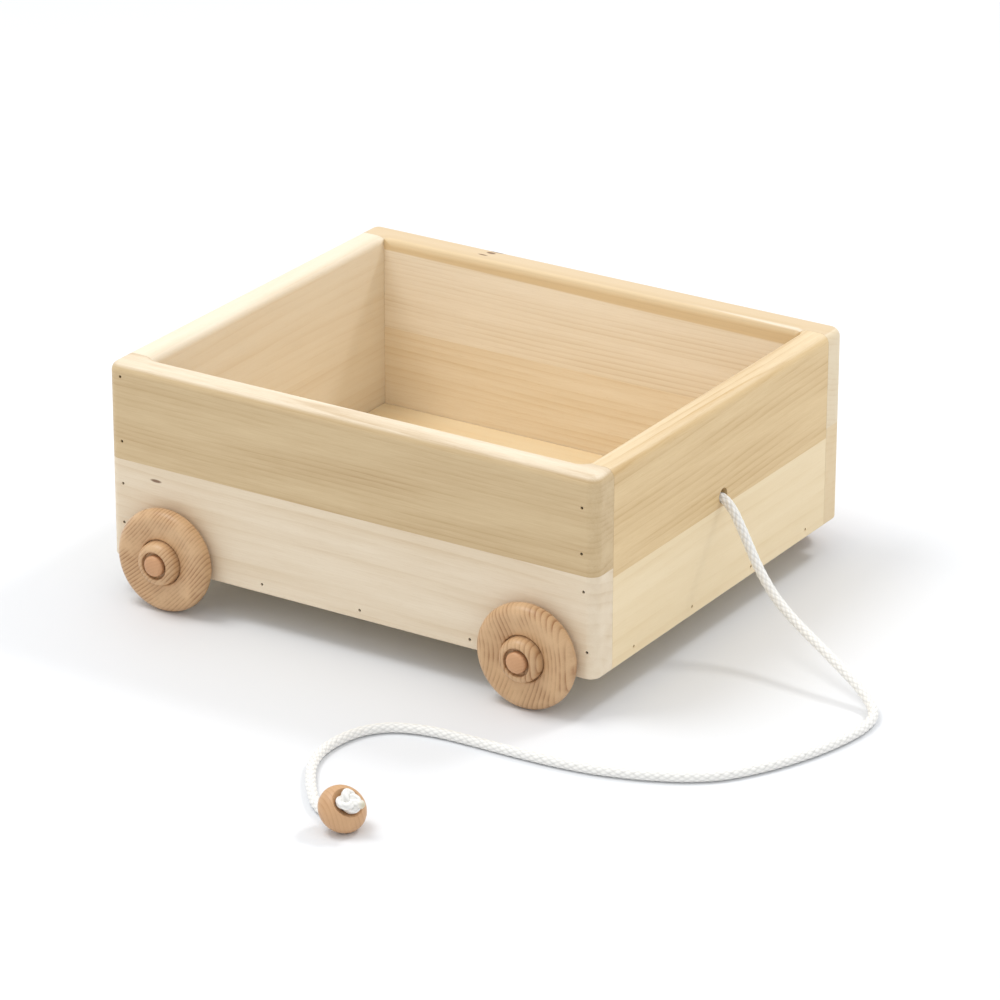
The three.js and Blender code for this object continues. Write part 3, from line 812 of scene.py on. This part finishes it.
def braided_tube(path, radius, stitches, stitch, sides, reference, closed, depth=0.2, swell=None):
    """A braided tube: point = path + r(a, s) * (cos a * side + sin a * lift), where side and lift are square
    to the path, and r is the radius less the depth of the braid's hollows. Returns points, faces, the hollows'
    mask for painted shade, the length run at each ring and the number of sides. At each end of an open tube
    one point closes it."""
    if closed:
        tangent = np.roll(path, -1, 0) - np.roll(path, 1, 0)
        lengths = np.linalg.norm(np.roll(path, -1, 0) - path, axis=1)
        run = np.concatenate([[0], np.cumsum(lengths)[:-1]])
        stitch = lengths.sum() / max(2, 2 * round(lengths.sum() / stitch / 2))
    else:
        tangent = np.gradient(path, axis=0)
        run = np.concatenate([[0], np.cumsum(np.linalg.norm(np.diff(path, axis=0), axis=1))])
    tangent = tangent / np.linalg.norm(tangent, axis=1)[:, None]
    side = np.cross(tangent, reference)
    side /= np.linalg.norm(side, axis=1)[:, None]
    lift = np.cross(side, tangent)
    turn = np.linspace(0, 1, sides, endpoint=False)[None, :]
    height = braid_height(turn, run[:, None], stitches, stitch)
    reach = radius * (1 - depth * (1 - height))
    if swell is not None:
        reach = reach * swell(run / run[-1])[:, None]
    angle = 2 * np.pi * turn[..., None]
    ring = np.cos(angle) * side[:, None] + np.sin(angle) * lift[:, None]
    points = (path[:, None] + reach[..., None] * ring).reshape(-1, 3)
    rows = len(path)
    faces = grid_faces(rows, sides, wrap_rows=closed).tolist()
    # Mask of the painted shade in the braid's hollows: 1 at the bottom of a hollow, 0 on a crown
    hollow_shade = (1 - height).reshape(-1)
    if not closed:
        points = np.concatenate([points, path[[0, -1]]])
        faces += fan(rows * sides, 0, sides, turned=True)
        faces += fan(rows * sides + 1, (rows - 1) * sides, sides, turned=False)
        hollow_shade = np.concatenate([hollow_shade, [0.5, 0.5]])
    return points, faces, hollow_shade, run, sides


def rope_mesh(name, tubes, material, melt_from=None):
    """One piece from one or more tubes, with the hollow-shade attribute for the painted shade in the braid's
    hollows, the melt attribute and a UV map of turn and length that the rope's filaments follow."""
    points, faces, hollows, uvs, start = [], [], [], [], 0
    for tube_points, tube_faces, hollow_shade, run, sides in tubes:
        points.append(tube_points)
        faces += [[v + start for v in face] for face in tube_faces]
        hollows.append(hollow_shade)
        plane = np.stack([np.tile(np.arange(sides) / sides, len(run)), np.repeat(run, sides)], -1)
        if len(tube_points) > len(plane):
            plane = np.concatenate([plane, [[0.5, run[0]], [0.5, run[-1]]]])
        uvs.append(plane)
        start += len(tube_points)
    points = np.concatenate(points)
    piece = mesh_piece(name, points, faces, material, sharp_angle=80.0)
    mesh = piece.data
    # Stores the painted shade of the braid's hollows for the rope's material
    hollow_shade = mesh.attributes.new("hollow_shade", "FLOAT", "POINT")
    hollow_shade.data.foreach_set("value", np.concatenate(hollows).astype(np.float32))
    melted = np.zeros(len(points)) if melt_from is None else melt_from(points)
    melt = mesh.attributes.new("melt", "FLOAT", "POINT")
    melt.data.foreach_set("value", melted.astype(np.float32))
    corner = np.zeros(len(mesh.loops), np.int32)
    mesh.loops.foreach_get("vertex_index", corner)
    counts = np.zeros(len(mesh.polygons), np.int32)
    mesh.polygons.foreach_get("loop_total", counts)
    plane = np.concatenate(uvs)[corner]
    face_of = np.repeat(np.arange(len(counts)), counts)
    highest = np.zeros(len(counts))
    np.maximum.at(highest, face_of, plane[:, 0])
    plane[:, 0] += (highest[face_of] - plane[:, 0] > 0.5) * 1.0
    layer = mesh.uv_layers.new(name="Rope")
    layer.data.foreach_set("uv", plane.astype(np.float32).ravel())
    return piece


def knot_tubes(centre, axis, ring, swing, thickness, stitch, neck, tail, lean):
    """An overhand knot pulled tight: a trefoil, its point ((R + r cos 3t) cos 2t, (R + r cos 3t) sin 2t,
    r sin 3t) about the rope's axis, with the standing rope's neck on one side of it and the cut tail on the
    other. Returns the three tubes, and the tail's tip."""
    axis, first, second = square_to(axis)
    t = np.linspace(0, 2 * np.pi, 150, endpoint=False)[:, None]
    flat = ring + swing * np.cos(3 * t)
    path = centre + flat * (np.cos(2 * t) * first + np.sin(2 * t) * second) + swing * np.sin(3 * t) * axis
    neck_path = centre + np.linspace(*neck, 18)[:, None] * axis
    tail_axis = axis + lean[0] * first + lean[1] * second
    tail_axis /= np.linalg.norm(tail_axis)
    tail_path = centre + np.linspace(*tail, 34)[:, None] * tail_axis

    round_from, round_length, most = 0.78, 0.22, 0.97

    def blunt(share):
        return np.sqrt(np.clip(1 - np.clip((share - round_from) / round_length, 0, most) ** 2, 0, 1))

    neck_radius, tail_radius = thickness * 1.1, thickness * 1.08
    tubes = [
        braided_tube(path, thickness, 4, stitch, KNOT_SIDES, axis, closed=True),
        braided_tube(neck_path, neck_radius, 5, stitch, KNOT_SIDES, second, closed=False),
        braided_tube(tail_path, tail_radius, 5, stitch, KNOT_SIDES, second, closed=False, swell=blunt),
    ]
    return tubes, tail_path[-1]


# Operators


class WAGON_OT_studio(bpy.types.Operator):
    """Sets up the camera, the pale floor and the soft lights"""

    bl_idname = "wagon.studio"
    bl_label = "Studio"

    def execute(self, context):
        scene = context.scene
        studio = scene.wagon_studio
        a, e, roll = studio.azimuth, studio.elevation, studio.roll
        right = Vector((math.cos(a), math.sin(a), 0))
        up = Vector((-math.sin(a) * math.sin(e), math.cos(a) * math.sin(e), math.cos(e)))
        back = Vector((math.sin(a) * math.cos(e), -math.cos(a) * math.cos(e), math.sin(e)))
        x_axis = right * math.cos(roll) + up * math.sin(roll)
        y_axis = up * math.cos(roll) - right * math.sin(roll)
        data = bpy.data.cameras.new("Camera")
        data.lens = studio.lens
        data.sensor_width = 36.0
        data.clip_start, data.clip_end = 0.05, 60.0
        camera = add_object("Camera", data)
        turn = Matrix((x_axis, y_axis, back)).transposed().to_4x4()
        place = right * studio.aim[0] + up * studio.aim[1] + back * studio.distance
        camera.matrix_world = Matrix.Translation(place) @ turn
        scene.camera = camera

        half_floor, lines = 5.0, 9
        x, y = np.meshgrid(*[np.linspace(-half_floor, half_floor, lines)] * 2)
        points = np.stack([x, y, np.zeros_like(x)], -1).reshape(-1, 3)
        mesh = bpy.data.meshes.new("studio_floor")
        faces = grid_faces(lines, lines, wrap_columns=False)[:, ::-1]
        mesh.from_pydata(points.tolist(), [], faces.tolist())
        mesh.materials.append(ground_material("studio_floor", tuple(scene.wagon_colours.ground)))
        add_object("studio_floor", mesh)

        world = bpy.data.worlds.new("White room")
        world.use_nodes = True
        background = world.node_tree.nodes["Background"]
        background.inputs["Color"].default_value = (1.0, 1.0, 1.0, 1.0)
        background.inputs["Strength"].default_value = studio.surround
        scene.world = world
        target = Vector((0.02, -0.02, 0.05))
        # Name, direction from the target, distance, width and power
        lights = (
            ("Key", Vector((0.28, 0.57, 0.79)), 2.6, 0.45, studio.key),
            ("Overhead", Vector((-0.38, -0.22, 1.0)), 2.2, 1.0, studio.overhead),
        )
        for name, direction, distance, width, power in lights:
            light = bpy.data.lights.new(name, "AREA")
            light.shape = "DISK"
            light.size = width
            light.energy = power
            lamp = add_object(name, light)
            lamp.location = target + direction.normalized() * distance
            lamp.rotation_mode = "QUATERNION"
            lamp.rotation_quaternion = direction.to_track_quat("Z", "Y")
        scene.view_settings.view_transform = "Standard"
        scene.view_settings.look = "None"
        return {"FINISHED"}


class WAGON_OT_rope(bpy.types.Operator):
    """Lays the braided pull rope with its two knots and the turned bead"""

    bl_idname = "wagon.rope"
    bl_label = "Rope, knots and bead"

    def execute(self, context):
        sizes, colours = context.scene.wagon_sizes, context.scene.wagon_colours
        white = rope_material("rope", tuple(colours.rope), tuple(colours.rope_melt))
        ends = [BEAD_CENTRE + k * BEAD_AXIS for k in (ROPE_IN_ALONG, ROPE_END_ALONG)]
        path, length = smooth_route(np.concatenate([ROPE_POINTS, ends]), ROPE_STEP)
        if abs(length - ROPE_LENGTH) > LENGTH_SLACK:
            raise ValueError(f"the rope's route is {length:.4f} m long, not {ROPE_LENGTH} m")
        up = np.array([0.0, 0.0, 1.0])
        tube = braided_tube(path, sizes.rope / 2, 6, sizes.stitch, ROPE_SIDES, up, closed=False)
        rope = rope_mesh("pull_rope_braid", [tube], white)
        settle(rope, "root", "pull_rope")

        stop_tubes, _ = knot_tubes(
            STOP_KNOT_CENTRE, (-1.0, 0.0, 0.0), 3.9 * MM, 2.1 * MM, 2.5 * MM, sizes.stitch,
            (-7.0 * MM, 1.0 * MM), (0.0, 9.5 * MM), (0.2, 0.75),
        )
        stop = rope_mesh("stop_knot", stop_tubes, white)
        settle(stop, "root", "rope_stop_knot")

        centre = BEAD_CENTRE + END_KNOT_ALONG * BEAD_AXIS
        end_tubes, tip = knot_tubes(
            centre, BEAD_AXIS, 3.4 * MM, 1.9 * MM, 2.3 * MM, sizes.stitch,
            (ROPE_END_ALONG - END_KNOT_ALONG + 0.05 * MM, 1.0 * MM), (0.0, 10.0 * MM), (-0.55, 1.1),
        )

        def melt(points):
            away = np.linalg.norm(points - tip, axis=1)
            return np.clip(1.25 - away / (3.2 * MM), 0, 1)

        end_knot = rope_mesh("end_knot", end_tubes, white, melt)
        settle(end_knot, "root", "rope_end_knot")

        bead_wood = wood(
            "bead_wood", *tones(colours, "bead"), 2, (0.10, -0.372), 2.4 * MM,
            rings=0.55, fibre=0.3, cloud=0.4, wobble=1.4 * MM, seed=7.0, sheen=0.4, lean=0.35,
        )
        bead = turned_piece(
            "bead", self.bead_profile(), BEAD_CENTRE, BEAD_AXIS, 96, bead_wood, closed_loop=True
        )
        settle(bead, "root", "pull_bead")
        return {"FINISHED"}

    def bead_profile(self):
        """A flattened ball with a straight bore and countersunk mouths whose lips are slightly rounded."""
        bore, mouth, foot, lip = 3.9 * MM, 8.6 * MM, 4.2 * MM, 0.5 * MM
        limit = math.degrees(math.acos((mouth + lip) / BEAD_RADIUS))
        height = BEAD_HALF_THICKNESS * math.sin(math.radians(limit))
        half = [(bore, 0.0), (bore, foot)]
        half += bend((bore, foot), (bore + 1.6 * MM, foot + 0.2 * MM), (mouth - 1.2 * MM, height - 0.9 * MM),
                     (mouth, height - 0.15 * MM), 8)[1:]
        half += [(mouth + 0.45 * lip, height + 0.06 * MM)]
        ball = arc(0, 0, BEAD_RADIUS, BEAD_HALF_THICKNESS, limit, -limit, 56)
        mirrored = [(r, -h) for r, h in reversed(half[1:])]
        return half[1:] + ball + mirrored


class WAGON_OT_side_boards(bpy.types.Operator):
    """Builds the two glued boards of each long side"""

    bl_idname = "wagon.side_boards"
    bl_label = "Side boards"

    def execute(self, context):
        sizes = context.scene.wagon_sizes
        traits = self.traits(context.scene.wagon_colours)
        rods = brad_rods(sizes.brad_hole)
        for side_name, side in SIDES:
            for node in [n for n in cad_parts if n.endswith(side_name + "_axle_peg")]:
                low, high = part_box(node)
                middle = (low + high) / 2
                mouth = (middle.x, side * (HALF_WIDTH + HOLE_START), middle.z)
                end = (middle.x, (low.y if side > 0 else high.y) - side * HOLE_PAST, middle.z)
                rods.append((mouth, end, sizes.peg_hole, 48))
        for side_name, side in SIDES:
            glued_boards(context.scene, side_name, side, 0, HALF_LENGTH, SIDE_GLUE_LINE, rods, traits)
        return {"FINISHED"}

    def traits(self, colours):
        """A pale rim on the right, painted as a highlight, and on the left a heartwood band under the rim and
        inner faces painted paler for light bounced inside the box.
        """
        brown = tuple(colours.knot_brown)

        # Painted highlight: the top of the right rim takes a paler colour for the light that the round-over
        # catches
        def rim(sheet, position, slow, small):
            return tuple(colours.right_rim_highlight), position[2].step(*RIGHT_RIM_HIGHLIGHT)

        def on_inner_face(position):
            in_depth = 1.0 - position[1].step(*INNER_FACE)
            return in_depth * (1.0 - (position[0] * position[0]).step(*[x ** 2 for x in END_GRAIN]))

        def heart(sheet, position, slow, small):
            height = position[2] + slow * 0.004 + position[0] * 0.012
            in_height = height.step(*HEART_LOW) * (1.0 - height.step(*HEART_HIGH))
            # Painted light: the inner face takes a paler colour than the board's outer face, for light bounced
            # inside the box; the heartwood band on it is the wood's own colour
            tone = sheet.mix(in_height, tuple(colours.left_upper_inner_bounce_lit), tuple(colours.left_heart))
            on_top = position[2].step(*LEFT_RIM)
            tone = sheet.mix(on_top, tone, tuple(colours.left_rim))
            return tone, 1.0 - (1.0 - on_inner_face(position)) * (1.0 - on_top)

        # Painted light: the lower board's inner face is paler than its outer face, for light bounced inside
        # the box
        def inside(sheet, position, slow, small):
            return tuple(colours.left_lower_inner_bounce_lit), on_inner_face(position)

        return {
            ("right", "upper"): {"band": rim},
            ("right", "lower"): {"spots": [((-0.1352, -0.1430, 0.0776), 4.6 * MM, 1.2 * MM, brown, 0.85)]},
            ("left", "upper"): {"band": heart, "spots": [
                ((-0.0745, 0.1383, 0.1467), 6.0 * MM, 1.2 * MM, brown, 0.95),
                ((-0.0772, 0.1351, 0.1467), 3.6 * MM, 1.7 * MM, brown, 0.85),
                ((-0.0800, 0.1298, 0.1462), 4.6 * MM, 0.9 * MM, brown, 0.9),
            ]},
            ("left", "lower"): {"band": inside},
        }


class WAGON_OT_end_boards(bpy.types.Operator):
    """Builds the two glued boards of each short end, with the rope's hole in the front"""

    bl_idname = "wagon.end_boards"
    bl_label = "End boards"

    def execute(self, context):
        sizes, colours = context.scene.wagon_sizes, context.scene.wagon_colours

        # Painted highlight: the top of the front rim takes a paler colour for the light that the round-over
        # catches
        def rim(sheet, position, slow, small):
            return tuple(colours.front_rim_highlight), position[2].step(*FRONT_RIM_HIGHLIGHT)

        rods = brad_rods(sizes.brad_hole)
        hole_height = float(ROPE_POINTS[0, 2]) + 1.3 * MM
        mouth = (HALF_LENGTH + HOLE_START, 0.0, hole_height)
        end = (HALF_LENGTH - sizes.board - HOLE_START, 0.0, hole_height)
        rods.append((mouth, end, sizes.rope_hole, 48))
        reach = HALF_WIDTH - sizes.board - sizes.joint_gap
        traits = {("front", "upper"): {"band": rim}}
        for end_name, side in ENDS:
            glued_boards(context.scene, end_name, side, 1, reach, END_GLUE_LINE, rods, traits)
        return {"FINISHED"}


class WAGON_OT_floor(bpy.types.Operator):
    """Builds the floor panel between the boards"""

    bl_idname = "wagon.floor"
    bl_label = "Floor panel"

    def execute(self, context):
        sizes, colours = context.scene.wagon_sizes, context.scene.wagon_colours
        low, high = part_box("floor_panel")
        material = wood(
            "floor_wood", *tones(colours, "floor"), 0, (0.0300, -0.2100), 5.5 * MM,
            rings=0.5, fibre=0.36, cloud=0.55, wobble=9.0 * MM, seed=10.0, sheen=0.52,
        )
        edge = 0.5 * MM
        front, rear = quarter_steps(high.x, high.x - edge, 5), quarter_steps(low.x, low.x + edge, 5)
        x = np.concatenate([front, rear[::-1]])[:, None]
        from_ends = np.minimum(high.x - x, x - low.x)
        y = np.linspace(-1, 1, 13)[None, :] * (high.y - fall(from_ends, edge))
        top = high.z - fall(np.minimum(high.y - np.abs(y), from_ends), edge)
        bottom = low.z + (high.z - top)
        upper, lower = [np.stack([np.broadcast_to(x, y.shape), y, z], -1) for z in (top, bottom)]
        points = np.concatenate([upper, lower[:, ::-1]], 1)
        faces = carried_faces(*points.shape[:2])
        piece = mesh_piece("floor_plank", points.reshape(-1, 3), faces, material)
        drill(piece, rods_meeting(brad_rods(sizes.brad_hole), piece))
        settle(piece, "root", "floor_panel")
        return {"FINISHED"}


class WAGON_OT_wheels(bpy.types.Operator):
    """Turns the four wheels and their axle pegs"""

    bl_idname = "wagon.wheels"
    bl_label = "Wheels and axle pegs"

    HALF_TREAD = 6.5  # Half a wheel's thickness at the tyre, in millimetres
    TYRE_ROUND = 6.0  # How far in from the tread the tyre's rounding reaches, in millimetres

    # Where each wheel's pith lies from its middle, in X and Z, in metres, and its ring gap in millimetres
    PITHS = {
        ("front", "right"): (-0.060, 0.004, 2.8),
        ("rear", "right"): (-0.110, 0.105, 2.1),
        ("front", "left"): (0.050, -0.070, 2.8),
        ("rear", "left"): (-0.090, -0.030, 2.6),
    }

    def execute(self, context):
        wheel_tones, peg_tones = [tones(context.scene.wagon_colours, key) for key in ("wheel", "peg")]
        for end_name, end in ENDS:
            for side_name, side in SIDES:
                wheel_node = f"{end_name}_{side_name}_wheel"
                peg_node = f"{end_name}_{side_name}_axle_peg"
                low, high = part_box(wheel_node)
                radius = (high.x - low.x) / 2
                back = high.y if side < 0 else low.y
                centre = ((low.x + high.x) / 2, back + side * self.HALF_TREAD * MM, (low.z + high.z) / 2)
                out_x, out_z, gap = self.PITHS[end_name, side_name]
                wheel_wood = wood(
                    f"{wheel_node}_wood", *wheel_tones, 1, (centre[0] + out_x, centre[2] + out_z), gap * MM,
                    rings=0.95, fibre=0.3, cloud=0.35, wobble=1.0 * MM, seed=11.0 + end + 2 * side,
                    sheen=0.40, lean=0.04 * side, flecks=0.12,
                )
                wheel = turned_piece(
                    f"{end_name}_{side_name}_turned_wheel", self.wheel_profile(radius), centre,
                    (0, side, 0), 160, wheel_wood, closed_loop=True,
                )
                settle(wheel, f"{wheel_node}_body", wheel_node)
                peg_low, peg_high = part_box(peg_node)
                peg_end = (peg_high.y if side < 0 else peg_low.y) - centre[1]
                peg_wood = wood(
                    f"{peg_node}_wood", *peg_tones, 1, (centre[0] + 0.012, centre[2] - 0.02), 1.9 * MM,
                    rings=0.45, fibre=0.4, cloud=0.5, wobble=1.2 * MM, seed=21.0 + end + 2 * side, sheen=0.42,
                )
                peg = turned_piece(
                    f"{end_name}_{side_name}_turned_peg", self.peg_profile(abs(peg_end)), centre,
                    (0, side, 0), 72, peg_wood, closed_loop=False,
                )
                settle(peg, "root", peg_node)
        return {"FINISHED"}

    def wheel_profile(self, radius):
        """Bore, flat back, round tyre, face that sinks to a groove, raised round hub and counterbore."""
        half, crest = self.HALF_TREAD, radius / MM - self.TYRE_ROUND
        bore, well, well_floor = 4.75, 8.5, 8.6
        shape = [(bore, 0.3 - half), (bore + 0.3, -half), (12.0, -half)]
        shape += arc(crest, 0, self.TYRE_ROUND, half, -90, 90, 36)
        shape += bend((crest, half), (crest - 3.6, half), (17.6, 5.5), (14.7, 4.8), 18)[1:]
        shape += [(14.4, 4.5), (14.0, 2.9), (13.75, 2.9), (13.5, 5.2)]
        shape += arc(9.2, 6.4, 4.3, 5.5, 2, 84, 20)
        shape += bend((9.6, 11.87), (9.0, 11.92), (well, 11.7), (well, 11.0), 6)
        shape += [(well, well_floor + 0.3), (well - 0.3, well_floor), (5.0, well_floor), (bore, 8.3)]
        return np.array(shape) * MM

    def peg_profile(self, depth):
        """Chamfered shank and a button head with a softly rounded edge and a very slightly domed end."""
        shank, head, top, under = 4.35, 6.5, 14.0, 9.0
        shape = [(0.0, -depth / MM), (shank - 1.0, -depth / MM), (shank, -depth / MM + 1.0), (shank, under)]
        shape += [(head - 0.3, under), (head, under + 0.3)]
        shape += arc(head - 2.3, top - 2.7, 2.3, 2.3, 0, 72, 12)
        shape += bend((4.91, top - 0.51), (3.6, top - 0.1), (1.8, top), (0.0, top), 10)[1:]
        return np.array(shape) * MM


class WAGON_OT_brads(bpy.types.Operator):
    """Gives the sunk brads their steel"""

    bl_idname = "wagon.brads"
    bl_label = "Brads"

    def execute(self, context):
        steel = brad_material("brad_steel", tuple(context.scene.wagon_colours.brad))
        for node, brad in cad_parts.items():
            if node.startswith("brad_"):
                brad.data.materials.clear()
                brad.data.materials.append(steel)
        return {"FINISHED"}


class WAGON_PT_panel(bpy.types.Panel):
    """Lists the wagon's steps"""

    bl_idname = "WAGON_PT_panel"
    bl_label = "Toy Wagon"
    bl_space_type = "VIEW_3D"
    bl_region_type = "UI"
    bl_category = "Wagon"

    def draw(self, context):
        for operator in OPERATORS:
            self.layout.operator(operator.bl_idname)
        for group in GROUPS:
            settings = getattr(context.scene, group)
            box = self.layout.box()
            for key in settings.__annotations__:
                box.prop(settings, key)


OPERATORS = (
    WAGON_OT_studio, WAGON_OT_rope, WAGON_OT_side_boards, WAGON_OT_end_boards,
    WAGON_OT_floor, WAGON_OT_wheels, WAGON_OT_brads,
)
GROUPS = {"wagon_sizes": WagonSizes, "wagon_colours": WagonColours, "wagon_studio": WagonStudio}
CLASSES = (*GROUPS.values(), *OPERATORS, WAGON_PT_panel)


def register():
    for each in CLASSES:
        bpy.utils.register_class(each)
    for key, group in GROUPS.items():
        setattr(bpy.types.Scene, key, bpy.props.PointerProperty(type=group))


def unregister():
    for key in GROUPS:
        delattr(bpy.types.Scene, key)
    for each in reversed(CLASSES):
        bpy.utils.unregister_class(each)


def main():
    register()
    bpy.ops.wagon.studio()
    bpy.ops.wagon.rope()
    bpy.ops.wagon.side_boards()
    bpy.ops.wagon.end_boards()
    bpy.ops.wagon.floor()
    bpy.ops.wagon.wheels()
    bpy.ops.wagon.brads()


if __name__ == "__main__":
    main()
